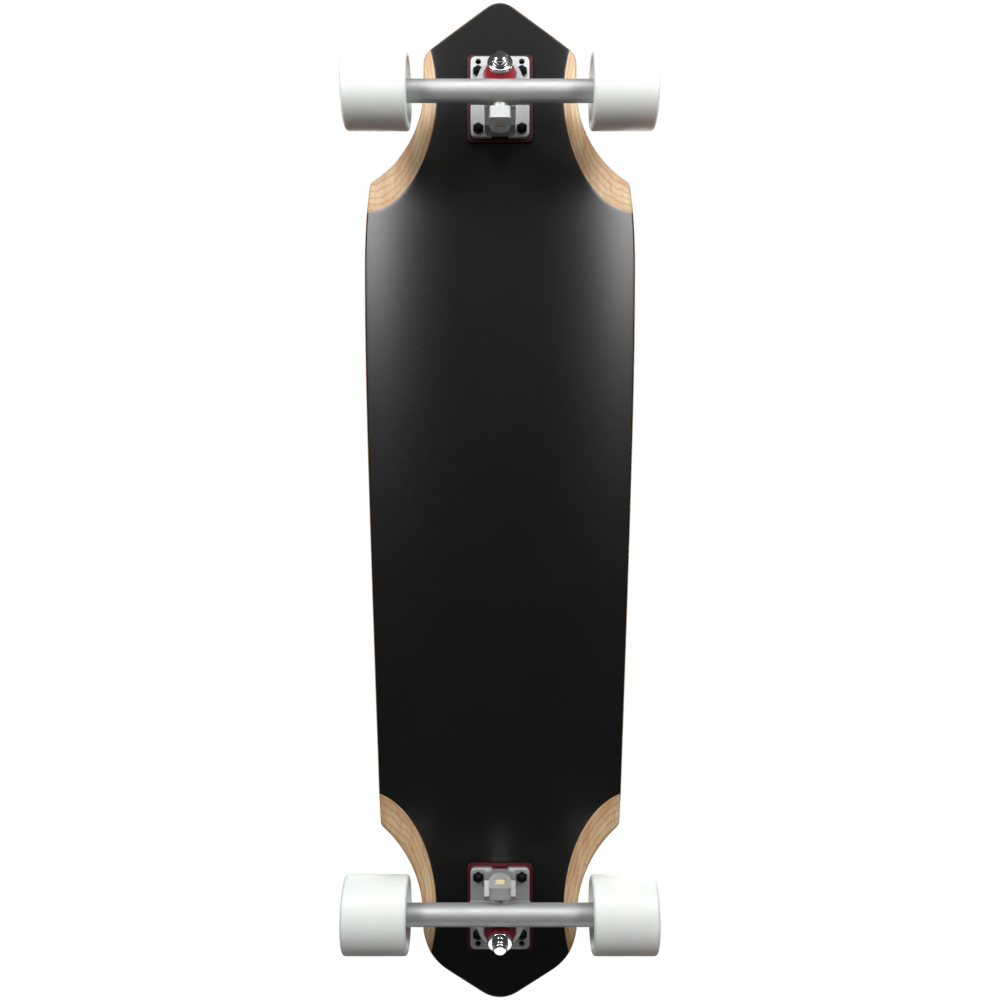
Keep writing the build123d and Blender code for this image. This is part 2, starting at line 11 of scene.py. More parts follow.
import bmesh
import bpy
import numpy as np
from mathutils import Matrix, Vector


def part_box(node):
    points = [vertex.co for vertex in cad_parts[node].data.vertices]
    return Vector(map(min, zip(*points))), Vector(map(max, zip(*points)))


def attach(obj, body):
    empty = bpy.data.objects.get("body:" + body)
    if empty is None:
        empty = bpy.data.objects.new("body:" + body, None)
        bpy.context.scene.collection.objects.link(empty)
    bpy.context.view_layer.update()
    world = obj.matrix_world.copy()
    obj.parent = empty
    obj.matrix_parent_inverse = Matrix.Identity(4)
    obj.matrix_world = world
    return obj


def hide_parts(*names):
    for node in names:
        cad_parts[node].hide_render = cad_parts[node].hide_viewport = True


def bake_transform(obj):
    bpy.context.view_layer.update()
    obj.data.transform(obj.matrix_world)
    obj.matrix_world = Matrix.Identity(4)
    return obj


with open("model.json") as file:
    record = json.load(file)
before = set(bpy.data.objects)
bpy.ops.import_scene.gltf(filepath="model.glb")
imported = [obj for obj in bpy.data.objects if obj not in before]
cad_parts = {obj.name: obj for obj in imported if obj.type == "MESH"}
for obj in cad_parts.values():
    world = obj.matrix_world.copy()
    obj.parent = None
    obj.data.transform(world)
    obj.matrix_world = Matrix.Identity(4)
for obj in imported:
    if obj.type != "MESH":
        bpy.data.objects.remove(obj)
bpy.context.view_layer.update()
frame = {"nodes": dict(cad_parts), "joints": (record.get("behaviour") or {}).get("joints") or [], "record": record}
NODES = frame["nodes"]
JOINTS = {joint["name"]: joint for joint in frame["joints"]}
ENDS = ("front", "rear")
SIDES = ("left", "right")
MM = 0.001
SHARP = math.radians(38)  # faces that meet at more than this keep a crisp edge
MERGE, SLIVER = 0.01 * MM, 0.005 * MM  # points and faces smaller than this close up


# ---------------------------------------------------------------- nodes and colours
def linear(code):
    """Linear RGBA of an sRGB hex colour."""
    values = [int(code[i : i + 2], 16) / 255 for i in (0, 2, 4)]
    return [v / 12.92 if v <= 0.04045 else ((v + 0.055) / 1.055) ** 2.4 for v in values] + [1.0]


def put(tree, kind, inputs=None, stops=None, **settings):
    """Adds one node to a tree: inputs are numbers, colours or sockets; stops fill a colour ramp."""
    made = tree.nodes.new(kind)
    for name, value in settings.items():
        setattr(made, name, value)
    for key, value in (inputs or {}).items():
        if isinstance(value, bpy.types.NodeSocket):
            tree.links.new(value, made.inputs[key])
        else:
            made.inputs[key].default_value = value
    if stops:
        ramp = made.color_ramp
        while len(ramp.elements) < len(stops):
            ramp.elements.new(0.5)
        for element, (place, code) in zip(ramp.elements, stops):
            element.position, element.color = place, linear(code)
    return made


def material(name, **values):
    """An empty material with its shader: returns the material, its tree, shader and coordinates."""
    made = bpy.data.materials.new(name)
    made.use_nodes = True
    tree = made.node_tree
    shader = tree.nodes["Principled BSDF"]
    for key, value in values.items():
        shader.inputs[key.replace("_", " ")].default_value = value
    place = put(tree, "ShaderNodeTexCoord").outputs["Object"]
    return made, tree, shader, place


def noise(tree, place, size_mm, detail=3, rough=0.5, stretch=(1, 1, 1)):
    """Blotches size_mm across on Object coordinates, drawn out along an axis by stretch."""
    scale = [1 / (size_mm * MM * s) for s in stretch]
    mapped = put(tree, "ShaderNodeMapping", {"Vector": place, "Scale": scale})
    return put(
        tree,
        "ShaderNodeTexNoise",
        {"Vector": mapped.outputs[0], "Scale": 1.0, "Detail": detail, "Roughness": rough},
    ).outputs["Fac"]


# ---------------------------------------------------------------- materials
METAL_PATCH, PLASTIC_PATCH = 14, 22  # mm across the faint blotches of tone
METAL_SHADE, PLASTIC_SHADE = 0.86, 0.9  # tone at the darkest of them
GLOSS_SPREAD = 0.08  # how far a metal's roughness wanders to each side
GRAIN_LOW, GRAIN_HIGH = 0.6, 1.4  # grain and blotch added up, between which it wanders
MOULD_SMOOTH, MOULD_DULL = 0.05, 0.07  # how far a plastic's roughness wanders down and up
METAL_BUMP, PLASTIC_BUMP, WOOD_BUMP = 0.35, 0.3, 0.25


def metal(name, code, rough, grain_mm=0.6, pits_mm=0.0, bare=1.0):
    """Metal whose grain changes the gloss. Pits roughen a cast skin; bare is how metallic it is."""
    made, tree, shader, place = material(name, Metallic=bare)
    grain = noise(tree, place, grain_mm, detail=4)
    patch = noise(tree, place, METAL_PATCH)
    blend = put(tree, "ShaderNodeMath", {0: grain, 1: patch}, operation="ADD")
    gloss = put(
        tree,
        "ShaderNodeMapRange",
        {
            "Value": blend.outputs[0],
            "From Min": GRAIN_LOW,
            "From Max": GRAIN_HIGH,
            "To Min": rough - GLOSS_SPREAD,
            "To Max": rough + GLOSS_SPREAD,
        },
    )
    tree.links.new(gloss.outputs[0], shader.inputs["Roughness"])
    shade = [c * METAL_SHADE for c in linear(code)[:3]] + [1.0]
    tint = put(tree, "ShaderNodeMix", {"Factor": patch}, data_type="RGBA")
    tint.inputs["A"].default_value, tint.inputs["B"].default_value = linear(code), shade
    tree.links.new(tint.outputs["Result"], shader.inputs["Base Color"])
    if pits_mm:
        relief = {"Strength": METAL_BUMP, "Distance": pits_mm * MM, "Height": grain}
        bump = put(tree, "ShaderNodeBump", relief)
        tree.links.new(bump.outputs[0], shader.inputs["Normal"])
    return made


LOOK = {
    # Cast aluminium, tumbled: a grey satin skin with broad highlights and shallow pits. The
    # tumbled skin scatters some light, so it is a little less than fully metallic.
    "cast_aluminium": metal("satin_cast_aluminium", "c8caca", 0.58, 0.8, pits_mm=0.08, bare=0.78),
    # Steel with bright zinc plate: small, hard, nearly mirror-like highlights.
    "zinc_steel": metal("bright_zinc_plate", "d6d8da", 0.14),
    # Turned steel rod: darker than the plate, with a softer gloss.
    "axle_steel": metal("turned_axle_steel", "a8abad", 0.28),
    # Ground and polished bearing steel: even and bright.
    "bearing_steel": metal("ground_bearing_steel", "c0c2c4", 0.2),
    # Steel blackened in a hot oxide bath: dark grey, with dull highlights.
    "black_steel": metal("black_oxide_steel", "2a2a2b", 0.4),
}


def plastic(name, code, rough, grain_mm=0.4, bump_mm=0.02, **values):
    """Moulded plastic or rubber: nearly even colour, with the mould's fine texture."""
    made, tree, shader, place = material(name, **values)
    grain = noise(tree, place, grain_mm)
    patch = noise(tree, place, PLASTIC_PATCH, detail=2)
    dark = [c * PLASTIC_SHADE for c in linear(code)[:3]] + [1.0]
    tint = put(tree, "ShaderNodeMix", {"Factor": patch}, data_type="RGBA")
    tint.inputs["A"].default_value, tint.inputs["B"].default_value = linear(code), dark
    tree.links.new(tint.outputs["Result"], shader.inputs["Base Color"])
    gloss = put(
        tree,
        "ShaderNodeMapRange",
        {"Value": patch, "To Min": rough - MOULD_SMOOTH, "To Max": rough + MOULD_DULL},
    )
    tree.links.new(gloss.outputs[0], shader.inputs["Roughness"])
    relief = {"Strength": PLASTIC_BUMP, "Distance": bump_mm * MM, "Height": grain}
    bump = put(tree, "ShaderNodeBump", relief)
    tree.links.new(bump.outputs[0], shader.inputs["Normal"])
    return made


# Poured urethane, dyed deep red: satin, and light gets a little way into it.
LOOK["red_urethane"] = plastic("cast_red_urethane", "a01426", 0.35, Subsurface_Weight=0.1)
# Pressed PVC sheet: red and dull. Its colour is darkened as painted shade, for the shade it lies in under the
# baseplate.
LOOK["riser"] = plastic("moulded_red_pvc_painted_shade", "4c0a14", 0.42)
# Poured urethane without dye: a milky off-white whose shaded side stays light.
LOOK["white_urethane"] = plastic("cast_white_urethane", "f2f3ee", 0.42, Subsurface_Weight=0.2)
# Injection-moulded nylon: even, slightly grey white.
LOOK["core_nylon"] = plastic("moulded_white_nylon", "dfe2dc", 0.4)
# Injection-moulded nylon in its natural cream colour.
LOOK["cream_nylon"] = plastic("moulded_cream_nylon", "d8cba0", 0.4)
# Silicon carbide grit glued on a sheet: matt black. The grit is drawn coarser than the real
# 0.2 mm, so that it shows.
LOOK["grit"] = plastic("silicon_carbide_grip", "141415", 0.8, grain_mm=0.7, bump_mm=0.35)

slots = {part["node"]: part["material_slot"] for part in frame["record"]["subparts"]}


# ---------------------------------------------------------------- meshes worked out here
def soften(mesh, sharp=SHARP):
    """Smooth shading, with a crisp edge wherever two faces meet at more than sharp."""
    mesh.polygons.foreach_set("use_smooth", np.ones(len(mesh.polygons), dtype=bool))
    mesh.set_sharp_from_angle(angle=sharp)


def show(name, mesh, look, body, *nodes, bend=None):
    """Puts a finished mesh in the scene as one piece that stands for the CAD nodes it replaces.

    The piece rides on body. Given bend, it is baked where it stands and rides on no body; the bodies and points in
    bend are not used.
    """
    mesh.materials.append(LOOK[look])
    piece = bpy.data.objects.new(name, mesh)
    bpy.context.scene.collection.objects.link(piece)
    if bend:
        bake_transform(piece)
    else:
        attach(piece, body)
    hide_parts(*nodes)
    return piece


def sheet_mesh(name, points, **values):
    """Mesh over a grid of points (rows, columns, 3) whose last row joins its first.

    Points that coincide are merged, which closes poles and seams, and faces are turned out.
    Each extra value becomes an attribute with one number per point.
    """
    rows, columns, _ = points.shape
    index = np.arange(rows * columns).reshape(rows, columns)
    index = np.vstack([index, index[:1]])
    corners = (index[:-1, :-1], index[:-1, 1:], index[1:, 1:], index[1:, :-1])
    quads = np.stack(corners, axis=-1).reshape(-1, 4)
    mesh = bpy.data.meshes.new(name)
    mesh.from_pydata(points.reshape(-1, 3), [], quads)
    for key, value in values.items():
        layer = mesh.attributes.new(key, "FLOAT", "POINT")
        layer.data.foreach_set("value", np.asarray(value, dtype=np.float32).ravel())
    work = bmesh.new()
    work.from_mesh(mesh)
    bmesh.ops.remove_doubles(work, verts=work.verts, dist=MERGE)
    bmesh.ops.dissolve_degenerate(work, edges=work.edges, dist=SLIVER)
    bmesh.ops.recalc_face_normals(work, faces=work.faces)
    work.to_mesh(mesh)
    work.free()
    soften(mesh)
    return mesh


# ---------------------------------------------------------------- deck
CONCAVE_FLAT = 35 * MM  # half of the flat middle
CONCAVE_RADIUS = 350 * MM  # underside, out to each rail
THICKNESS, PLIES = 11.5 * MM, 9
HALF_LENGTH = 475 * MM
NECK, NECK_END = 73.5 * MM, -396 * MM  # front cutaway arc's start
TAIL, TAIL_START = 74 * MM, 400 * MM  # rear cutaway arc's start
FRONT_SHOULDER, REAR_SHOULDER = (126 * MM, -308 * MM), (115.5 * MM, 315 * MM)
WIDEST, MIDDLE = (131 * MM, -225 * MM), (126.5 * MM, 0.0)
NOSE_ANGLE, NOSE_TIP, NOSE_CORNER = math.radians(53.7), 20 * MM, 12 * MM
TAIL_ANGLE, TAIL_TIP, TAIL_CORNER = math.radians(57.7), 30 * MM, 50 * MM
WELL_WIDTH, WELL_DEPTH, WELL_SHIFT = 20 * MM, 4.6 * MM, 9 * MM
BOTTOM_ROUND, TOP_ROUND = 2.2 * MM, 1.0 * MM
SHOULDER_SPREAD = 2.2 * MM  # softens a shoulder as a 7 mm round would
SPREAD_REACH, OVERSAMPLE, SAME_POINT = 4, 8, 1e-7
TIP_POINTS, CUTAWAY_POINTS, RAIL_ARC_POINTS, RAIL_POINTS = 40, 80, 60, 120
RAIL_SLOPES = (0.0, -0.032, -0.035)  # sideways per length: widest, middle, rear shoulder
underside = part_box("deck")[0][2]


def climb(x):
    """Rise of the underside at x: flat in the middle, then an arc out to the rail."""
    across = np.maximum(0, np.abs(x) - CONCAVE_FLAT)
    return CONCAVE_RADIUS - np.sqrt(CONCAVE_RADIUS**2 - across**2)


def climb_top(x):
    """Rise of the top face at x over the underside's flat: the same arc, THICKNESS inside it."""
    across = np.maximum(0, np.abs(x) - CONCAVE_FLAT)
    return CONCAVE_RADIUS - np.sqrt((CONCAVE_RADIUS - THICKNESS) ** 2 - across**2)


def arc_radius(start, corner):
    """Radius of the arc that leaves start along Y and reaches corner."""
    across, along = corner[0] - start[0], corner[1] - start[1]
    return (across**2 + along**2) / (2 * across)


def carved(x, y):
    """Height of the carved wheel wells over the underside, negative outside them.

    Each well is a flat cone round its cutaway arc's centre. The cone's base plane climbs with
    the underside from the arc's start to the shoulder, and it is WELL_DEPTH deep on the arc.
    """
    best = np.full(np.shape(x), -1.0)
    wells = (((NECK, NECK_END), FRONT_SHOULDER), ((TAIL, TAIL_START), REAR_SHOULDER))
    for start, corner in wells:
        radius = arc_radius(start, corner)
        slope = (climb(corner[0]) - climb(start[0])) / (corner[0] - start[0])
        out = (np.abs(x) - start[0] - radius) * math.hypot(1, slope)
        ahead = y - start[1] - math.copysign(WELL_SHIFT, corner[1] - start[1])
        cone = (radius + WELL_WIDTH - np.hypot(out, ahead)) * WELL_DEPTH / WELL_WIDTH
        base = climb(start[0]) + (np.abs(x) - start[0]) * slope
        best = np.maximum(best, base + cone - climb(x))
    return best


def arc(centre, radius, first, last, count=TIP_POINTS):
    """Points of an arc between two angles, in radians."""
    turn = np.linspace(first, last, count)
    return np.stack([centre[0] + radius * np.cos(turn), centre[1] + radius * np.sin(turn)], -1)


def cutaway(start, corner):
    """The arc of a wheel cutaway, from its start on the neck out to the shoulder."""
    radius = arc_radius(start, corner)
    centre = (start[0] + radius, start[1])
    last = math.atan2(corner[1] - centre[1], corner[0] - centre[0]) % (2 * math.pi)
    return arc(centre, radius, math.pi, last, CUTAWAY_POINTS)


def rail():
    """The long rail: an arc from the front shoulder to the widest point, then two cubics.

    Each cubic joins two points with a given slope at both (Hermite form).
    """
    radius = arc_radius((-WIDEST[0], WIDEST[1]), (-FRONT_SHOULDER[0], FRONT_SHOULDER[1]))
    centre = (WIDEST[0] - radius, WIDEST[1])
    first = math.asin((FRONT_SHOULDER[1] - centre[1]) / radius)
    parts = [arc(centre, radius, first, 0, RAIL_ARC_POINTS)]
    knots = (WIDEST, MIDDLE, REAR_SHOULDER)
    for (a, b), (m, n) in zip(zip(knots, knots[1:]), zip(RAIL_SLOPES, RAIL_SLOPES[1:])):
        t, run = np.linspace(0, 1, RAIL_POINTS), b[1] - a[1]
        x = (2 * t**3 - 3 * t**2 + 1) * a[0] + (3 * t**2 - 2 * t**3) * b[0]
        x += run * ((t**3 - 2 * t**2 + t) * m + (t**3 - t**2) * n)
        parts.append(np.stack([x, a[1] + run * t], -1))
    return np.concatenate(parts)


def half_outline(count):
    """The deck's +X edge from nose tip to tail tip, evenly spaced.

    Arcs and straight flanks are joined end to end, then every point becomes the average of its
    neighbours under a bell curve SHOULDER_SPREAD wide, which rounds the shoulders. Both tips are
    mirrored past the centre line first, so that they stay on it.
    """
    cos_n, sin_n = math.cos(NOSE_ANGLE), math.sin(NOSE_ANGLE)
    cos_t, sin_t = math.cos(TAIL_ANGLE), math.sin(TAIL_ANGLE)
    nose_tip, tail_tip = NOSE_TIP - HALF_LENGTH, HALF_LENGTH - TAIL_TIP
    nose_x, tail_x = NECK - NOSE_CORNER, TAIL - TAIL_CORNER
    nose_y = nose_tip + (nose_x * cos_n - NOSE_TIP + NOSE_CORNER) / sin_n
    tail_y = tail_tip - (tail_x * cos_t - TAIL_TIP + TAIL_CORNER) / sin_t
    path = np.concatenate(
        [
            arc((0, nose_tip), NOSE_TIP, -math.pi / 2, -NOSE_ANGLE),
            arc((nose_x, nose_y), NOSE_CORNER, -NOSE_ANGLE, 0),
            cutaway((NECK, NECK_END), FRONT_SHOULDER),
            rail(),
            cutaway((TAIL, TAIL_START), REAR_SHOULDER)[::-1],
            arc((tail_x, tail_y), TAIL_CORNER, 0, TAIL_ANGLE),
            arc((0, tail_tip), TAIL_TIP, TAIL_ANGLE, math.pi / 2),
        ]
    )
    steps = np.hypot(*np.diff(path, axis=0).T)
    path = path[np.concatenate([[True], steps > SAME_POINT])]
    length = np.concatenate([[0], np.cumsum(np.hypot(*np.diff(path, axis=0).T))])
    fine = np.linspace(0, length[-1], OVERSAMPLE * count)
    dense = np.stack([np.interp(fine, length, path[:, i]) for i in (0, 1)], -1)
    reach = SHOULDER_SPREAD / (fine[1] - fine[0])
    span = np.arange(-int(SPREAD_REACH * reach), int(SPREAD_REACH * reach) + 1)
    weight = np.exp(-((span / reach) ** 2) / 2)
    mirrored = dense[1 : len(span)] * (-1, 1)
    ends = dense[-len(span) : -1] * (-1, 1)
    padded = np.concatenate([mirrored[::-1], dense, ends[::-1]])
    soft = [np.convolve(padded[:, i], weight / weight.sum(), mode="same") for i in (0, 1)]
    soft = np.stack(soft, -1)[len(mirrored) : len(mirrored) + len(dense)]
    return soft[np.linspace(0, len(soft) - 1, count).astype(int)]


EDGE_POINTS, ROUND_POINTS, UNDER_POINTS, OVER_POINTS = 560, 7, 44, 9
CROWD = 0.8  # under 1, it crowds the underside's columns towards the rail and the wells


def deck_mesh():
    """The deck: rows run round its edge, columns from the middle of the underside, round the
    rail, to the middle of the top.

    Each point is a place on the outline drawn in towards the centre line, at the height that
    climb, climb_top or carved gives there. The bottom edge is rounded over BOTTOM_ROUND and the
    top edge over TOP_ROUND, both measured along the edge's own normal. depth_mm is how deep the
    surface has cut into the plies, and carve_mm how far it lies inside a wheel well.
    """
    right = half_outline(EDGE_POINTS)
    edge = np.concatenate([right, right[-2:0:-1] * (-1, 1)])
    along = np.roll(edge, -1, axis=0) - np.roll(edge, 1, axis=0)
    normal = np.stack([along[:, 1], -along[:, 0]], -1)
    normal /= np.hypot(*normal.T)[:, None]
    turn = np.linspace(0, math.pi / 2, ROUND_POINTS)
    under = np.linspace(0, 1, UNDER_POINTS) ** CROWD
    over = np.linspace(1, 0, OVER_POINTS)
    inset = edge - normal * BOTTOM_ROUND
    lid = edge - normal * TOP_ROUND
    columns = []
    for share in under[:-1]:
        columns.append((inset * (share, 1), 0.0, "under"))
    for angle in turn:
        place = edge - normal * BOTTOM_ROUND * (1 - math.sin(angle))
        columns.append((place, BOTTOM_ROUND * (1 - math.cos(angle)), "under"))
    for angle in turn[::-1]:
        place = edge - normal * TOP_ROUND * (1 - math.sin(angle))
        columns.append((place, -TOP_ROUND * (1 - math.cos(angle)), "over"))
    for share in over[1:]:
        columns.append((lid * (share, 1), 0.0, "over"))
    points, depth, carve = [], [], []
    for place, lift, face in columns:
        x, y = place.T
        well = carved(x, y)
        rise = climb(x) + np.maximum(0, well) if face == "under" else climb_top(x)
        points.append(np.stack([x, y, underside + rise + lift], -1))
        depth.append(rise + lift - climb(x))
        carve.append(well if face == "under" else np.full(len(x), -1 * MM))
    return sheet_mesh(
        "deck_maple",
        np.stack(points, 1),
        depth_mm=np.stack(depth, 1) / MM,
        carve_mm=np.stack(carve, 1) / MM,
    )


WANDER_REACH, WANDER_LENGTH, WANDER = 42, 2.2, 4.6  # mm across, times as long, mm high
FIBRE, FIBRE_LENGTH = 1.1, 26  # mm across a streak, and how many times as long it is
FIGURE, FIGURE_LENGTH = 9, 6
PAINT_CLOUD, PAINT_MOTTLE = 60, 3  # mm across the paint's changes of tone and of gloss
STREAK_SHARE, BLUSH_SHARE, SEAM_SHARE = 0.45, 0.6, 0.4  # how strongly each darkens the wood
BARE_DEPTH, BARE_CARVE = (0.45, 0.6), (0.06, 0.14)  # mm over which paint gives way to wood
PAINT_GLOSS, WOOD_GLOSS = (0.28, 0.36), 0.5
FIBRE_RELIEF = 0.08 * MM  # the streaks stand a little proud on bare wood


def painted_maple():
    """Nine maple plies, sanded and clear on the rails and in the carved wells, elsewhere under
    a rolled-on satin black paint.

    The plies show as contour lines where a surface cuts through them at a shallow angle: the
    depth of the cut, plus slow waves in each ply, is divided by a ply's thickness. Its whole
    part picks the ply's tone, and its remainder darkens the glue line between two plies. The
    seams are drawn wider than real glue lines, so that they show.
    """
    made, tree, shader, place = material("painted_maple_plies")
    depth = put(tree, "ShaderNodeAttribute", attribute_name="depth_mm").outputs["Fac"]
    carve = put(tree, "ShaderNodeAttribute", attribute_name="carve_mm").outputs["Fac"]
    wander = noise(tree, place, WANDER_REACH, detail=4, stretch=(1, WANDER_LENGTH, 1))
    shift = put(
        tree, "ShaderNodeMath", {0: wander, 1: WANDER, 2: depth}, operation="MULTIPLY_ADD"
    ).outputs[0]
    ply = THICKNESS / MM / PLIES
    layer = put(tree, "ShaderNodeMath", {0: shift, 1: ply}, operation="DIVIDE").outputs[0]
    phase = put(tree, "ShaderNodeMath", {0: layer}, operation="FRACT").outputs[0]
    number = put(tree, "ShaderNodeMath", {0: layer}, operation="FLOOR").outputs[0]
    pick = put(tree, "ShaderNodeTexWhiteNoise", {"W": number}, noise_dimensions="1D")
    tone = put(
        tree,
        "ShaderNodeValToRGB",
        {"Fac": pick.outputs["Value"]},
        stops=[(0.0, "dec49c"), (0.35, "d0ac82"), (0.7, "e2cda8"), (1.0, "c9a279")],
    ).outputs[0]

    # Fine dark streaks along the fibres, and broader warm stripes of figure.
    fibre = noise(tree, place, FIBRE, detail=5, rough=0.6, stretch=(1, FIBRE_LENGTH, 1))
    figure = noise(tree, place, FIGURE, stretch=(1, FIGURE_LENGTH, 1))
    streak = put(
        tree,
        "ShaderNodeValToRGB",
        {"Fac": fibre},
        stops=[(0.3, "a67c55"), (0.48, "ffffff"), (1.0, "ffffff")],
    ).outputs[0]
    blush = put(
        tree, "ShaderNodeValToRGB", {"Fac": figure}, stops=[(0.35, "e8c4a4"), (0.65, "ffffff")]
    ).outputs[0]
    seam = put(
        tree,
        "ShaderNodeValToRGB",
        {"Fac": phase},
        stops=[(0.0, "a88460"), (0.24, "ffffff"), (0.8, "ffffff"), (1.0, "a88460")],
    ).outputs[0]
    wood = tone
    for over, share in ((streak, STREAK_SHARE), (blush, BLUSH_SHARE), (seam, SEAM_SHARE)):
        inputs = {"Factor": share, "A": wood, "B": over}
        wood = put(
            tree, "ShaderNodeMix", inputs, data_type="RGBA", blend_type="MULTIPLY"
        ).outputs["Result"]

    # Paint covers all that no well and no rounded edge has cut into.
    in_well = put(
        tree,
        "ShaderNodeMapRange",
        {"Value": carve, "From Min": BARE_CARVE[0], "From Max": BARE_CARVE[1]},
    ).outputs[0]
    at_edge = put(
        tree,
        "ShaderNodeMapRange",
        {"Value": depth, "From Min": BARE_DEPTH[0], "From Max": BARE_DEPTH[1]},
    ).outputs[0]
    bare = put(tree, "ShaderNodeMath", {0: in_well, 1: at_edge}, operation="MAXIMUM").outputs[0]
    cloud = noise(tree, place, PAINT_CLOUD)
    paint = put(
        tree, "ShaderNodeValToRGB", {"Fac": cloud}, stops=[(0.3, "080808"), (0.7, "0c0c0d")]
    ).outputs[0]
    colour = put(
        tree, "ShaderNodeMix", {"Factor": bare, "A": paint, "B": wood}, data_type="RGBA"
    )
    tree.links.new(colour.outputs["Result"], shader.inputs["Base Color"])
    mottle = noise(tree, place, PAINT_MOTTLE, detail=4)
    satin = put(
        tree,
        "ShaderNodeMapRange",
        {"Value": mottle, "To Min": PAINT_GLOSS[0], "To Max": PAINT_GLOSS[1]},
    ).outputs[0]
    gloss = put(
        tree, "ShaderNodeMix", {"Factor": bare, "A": satin, "B": WOOD_GLOSS}, data_type="FLOAT"
    )
    tree.links.new(gloss.outputs["Result"], shader.inputs["Roughness"])
    height = put(tree, "ShaderNodeMath", {0: fibre, 1: bare}, operation="MULTIPLY").outputs[0]
    relief = {"Strength": WOOD_BUMP, "Distance": FIBRE_RELIEF, "Height": height}
    bump = put(tree, "ShaderNodeBump", relief)
    tree.links.new(bump.outputs[0], shader.inputs["Normal"])
    return made


LOOK["maple"] = painted_maple()
for name, piece in NODES.items():
    piece.data.materials.clear()
    piece.data.materials.append(LOOK[slots[name]])
show("deck_maple", deck_mesh(), "maple", "board", "deck")


# ---------------------------------------------------------------- turned and six-sided pieces
# Sizes in mm, as profiles give them. A truck's sizes run from the centre of its hanger's ring
# along the kingpin, or from the deck's underside.
RING_HALF, SEAT_GAP, BUSHING = 4.0, 0.1, 14.5
BUSHING_RADIUS, BUSHING_TOP, BUSHING_BULGE = 14.4, 10.2, 0.35
BUSHING_FOOT_ROUND, BUSHING_HEAD_ROUND = 1.4, 1.2
BUSHING_FLARE = 1.6  # how much the bore widens towards the ring, which tilts over the kingpin
KINGPIN, KINGPIN_FLATS, KINGPIN_NUT, KINGPIN_COLLAR = 4.765, 14.3, 7.0, 2.4
WASHER, WASHER_RIM, WASHER_LIP, WASHER_ROUND, WASHER_PLAY = 1.6, 1.0, 1.5, 1.2, 0.2
WASHER_BREAK = (0.3, 0.2)  # the lip's broken edge: across and along
BOLT, DECK_NUT_FLATS, DECK_NUT, DECK_NUT_COLLAR, PLATE_TOP = 2.4, 9.5, 5.0, 1.6, 8.0
BOLT_GAUGE, BOLT_INNER, BOLT_OUTER = 20.64, -31.75, 22.23
AXLE, AXLE_NUT_FLATS, AXLE_NUT, AXLE_NUT_COLLAR = 4.0, 13.0, 8.0, 2.2
BORE_GAP = 0.1
WHEEL_RADIUS, WHEEL_IN, WHEEL_OUT, WHEEL_ROUND = 34.0, 81.0, 138.0, 3.0  # from the middle out
LIP_RADIUS, LIP_ROUND = 28.5, 1.2
CORE_RADIUS, CORE_IN, CORE_OUT, NUT_AT = 16.5, 90.0, 116.0, 116.0
DISH_IN, DISH_OUT = 0.9, 1.4  # how far the dished faces bulge
TRUCK_AT = {"front": -383.25, "rear": 388.25}
STEERING_ANGLE = math.radians(25)  # kingpin from upright
NUT_POINTS, TYRE_POINTS = 96, 160
NUT_FOOT, NUT_TOP = (0.2, 0.9), (0.3, 1.1)  # cones: inside the flats, and along the nut
COLLAR_STEP, COLLAR_ROUND, BORE_CHAMFER = 0.9, 1.6, 0.4


def hexed(radius, turn, flats):
    """Radius cut back to a hexagon with that distance across its flats.

    A flat lies at flats / 2 over the cosine of the angle from its own middle.
    """
    sixth = math.pi / 3
    return np.minimum(radius, flats / 2 / np.cos((turn + sixth / 2) % sixth - sixth / 2))


def turned(name, profile, centre, axis, flats=None, count=120):
    """A closed ring: the profile's (radius, height) points in mm swept round an axis.

    Given flats, each radius is cut back to a hexagon, so that a cone in the profile becomes
    the chamfer arcs on a nut's corners.
    """
    axis = Vector(axis).normalized()
    side = np.array(axis.orthogonal().normalized() if abs(axis.x) > 0.5 else (1, 0, 0))
    axis = np.array(axis)
    other = np.cross(axis, side)
    turn = np.linspace(0, 2 * math.pi, count, endpoint=False)[:, None]
    radius, height = np.array(list(profile) + [profile[0]]).T * MM
    if flats:
        radius = hexed(np.broadcast_to(radius, (count, len(radius))), turn, flats * MM)
    radial = np.cos(turn)[..., None] * side + np.sin(turn)[..., None] * other
    points = np.array(centre) + np.asarray(radius)[..., None] * radial + height[:, None] * axis
    return sheet_mesh(name, points)


def bow(first, last, bulge, count=9):
    """Points of a parabola from first to last, bulging to the right of its direction."""
    (r0, h0), (r1, h1) = first, last
    t = np.linspace(0, 1, count)
    lift = 4 * bulge * t * (1 - t)
    length = math.hypot(r1 - r0, h1 - h0)
    across = ((h1 - h0) / length, -(r1 - r0) / length)
    return [
        (r0 + (r1 - r0) * a + across[0] * b, h0 + (h1 - h0) * a + across[1] * b)
        for a, b in zip(t, lift)
    ]


def quarter(radius, height, size, first, count=5):
    """Quarter circle about (radius, height), turning left from the angle first in degrees."""
    turn = math.radians(first) + np.linspace(0, math.pi / 2, count)
    return [(radius + size * math.cos(a), height + size * math.sin(a)) for a in turn]


def nut_profile(bore, flats, height, collar):
    """Locking nut seen in section: a cone at both ends and a rounded collar on top."""
    half, top = flats / 2, height - collar
    point = half / math.cos(math.pi / 6) + 0.05  # just past the corners, which the flats cut
    neck = half - COLLAR_STEP
    foot = [(bore, 0), (half - NUT_FOOT[0], 0), (point, NUT_FOOT[1])]
    shoulder = [(point, top - NUT_TOP[1]), (half - NUT_TOP[0], top), (neck, top)]
    dome = quarter(neck - COLLAR_ROUND, height - COLLAR_ROUND, COLLAR_ROUND, 0)
    mouth = [(bore + BORE_CHAMFER, height), (bore, height - BORE_CHAMFER)]
    return foot + shoulder + dome + mouth


